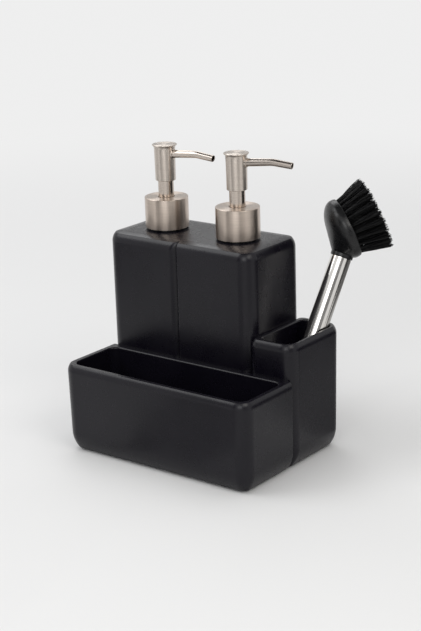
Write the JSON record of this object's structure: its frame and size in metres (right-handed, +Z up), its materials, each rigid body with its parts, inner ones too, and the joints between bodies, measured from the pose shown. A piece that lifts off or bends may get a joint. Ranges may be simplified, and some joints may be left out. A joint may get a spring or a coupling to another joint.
{
  "type": "sponge holder",
  "caption": "Sink caddy cast in one piece: two soap bottles with press pumps, an open sponge trough and a cup that holds a round dish brush.",
  "frame": {"origin": "middle of the base pad's underside, on the surface that the caddy stands on", "axes": "+Z up, -Y towards the front (the sponge trough), +X to the right (the brush cup)"},
  "size_m": [0.1994, 0.1778, 0.2216],
  "materials": {
    "black_cast": "satin black casting",
    "grey_rubber": "matt",
    "black_moulded": "satin",
    "brushed_nickel": "brushed nickel",
    "white_moulded": "moulded",
    "steel": "bright",
    "clear_tube": "milky",
    "polished_steel": "polished",
    "black_nylon": "nylon bristle"
  },
  "bodies": {
    "caddy": {"caddy_body": "black_cast", "base_pad": "grey_rubber", "left_neck_insert": "black_moulded", "right_neck_insert": "black_moulded"},
    "left_pump": {"left_pump_housing": "white_moulded", "left_neck_gasket": "white_moulded", "left_stem_guide": "white_moulded", "left_valve_retainer": "white_moulded", "left_return_spring": "steel", "left_dip_tube": "clear_tube"},
    "left_collar": {"left_collar_shell": "brushed_nickel", "left_closure_cap": "white_moulded"},
    "left_plunger": {"left_piston_rod": "white_moulded", "left_piston_seal": "grey_rubber"},
    "left_head": {"left_head_shell": "brushed_nickel", "left_head_core": "black_moulded", "left_stem_sleeve": "brushed_nickel", "left_spout": "brushed_nickel"},
    "left_valve": {"left_valve_ball": "steel"},
    "right_pump": {"right_pump_housing": "white_moulded", "right_neck_gasket": "white_moulded", "right_stem_guide": "white_moulded", "right_valve_retainer": "white_moulded", "right_return_spring": "steel", "right_dip_tube": "clear_tube"},
    "right_collar": {"right_collar_shell": "brushed_nickel", "right_closure_cap": "white_moulded"},
    "right_plunger": {"right_piston_rod": "white_moulded", "right_piston_seal": "grey_rubber"},
    "right_head": {"right_head_shell": "brushed_nickel", "right_head_core": "black_moulded", "right_stem_sleeve": "brushed_nickel", "right_spout": "brushed_nickel"},
    "right_valve": {"right_valve_ball": "steel"},
    "brush": {"brush_handle_tube": "polished_steel", "brush_handle_cap": "black_moulded", "brush_head": "black_moulded", "brush_bristles": "black_nylon"}
  },
  "joints": [
    {"name": "left_pump_lift", "type": "slide", "parent": "caddy", "child": "left_pump", "axis": [0, 0, 1], "range_m": [0, 0.00528]},
    {"name": "left_collar_turn", "type": "hinge", "parent": "left_pump", "child": "left_collar", "pos_m": [-0.05065, 0.0285, 0.17], "axis": [0, 0, 1], "range_deg": [0, 450]},
    {"name": "left_press", "type": "slide", "parent": "left_pump", "child": "left_plunger", "axis": [0, 0, -1], "range_m": [0, 0.01], "stiffness_N_per_m": 800, "springref_m": -0.004, "deforming": ["left_return_spring"]},
    {"name": "left_spout_swivel", "type": "hinge", "parent": "left_plunger", "child": "left_head", "pos_m": [-0.05065, 0.0285, 0.2], "axis": [0, 0, 1], "continuous": true},
    {"name": "left_valve_lift", "type": "slide", "parent": "left_pump", "child": "left_valve", "axis": [0, 0, 1], "range_m": [0, 0.0014]},
    {"name": "right_pump_lift", "type": "slide", "parent": "caddy", "child": "right_pump", "axis": [0, 0, 1], "range_m": [0, 0.00528]},
    {"name": "right_collar_turn", "type": "hinge", "parent": "right_pump", "child": "right_collar", "pos_m": [0.01585, 0.0285, 0.17], "axis": [0, 0, 1], "range_deg": [0, 450]},
    {"name": "right_press", "type": "slide", "parent": "right_pump", "child": "right_plunger", "axis": [0, 0, -1], "range_m": [0, 0.01], "stiffness_N_per_m": 800, "springref_m": -0.004, "deforming": ["right_return_spring"]},
    {"name": "right_spout_swivel", "type": "hinge", "parent": "right_plunger", "child": "right_head", "pos_m": [0.01585, 0.0285, 0.2], "axis": [0, 0, 1], "continuous": true},
    {"name": "right_valve_lift", "type": "slide", "parent": "right_pump", "child": "right_valve", "axis": [0, 0, 1], "range_m": [0, 0.0014]},
    {"name": "brush_lift", "type": "slide", "parent": "caddy", "child": "brush", "axis": [0.1128, 0.4327, 0.8945], "range_m": [0, 0.11]}
  ],
  "couplings": [
    {"joint": "left_collar_turn", "follows": "left_pump_lift", "rad_per_m": 1485.4},
    {"joint": "right_collar_turn", "follows": "right_pump_lift", "rad_per_m": 1485.4}
  ]
}
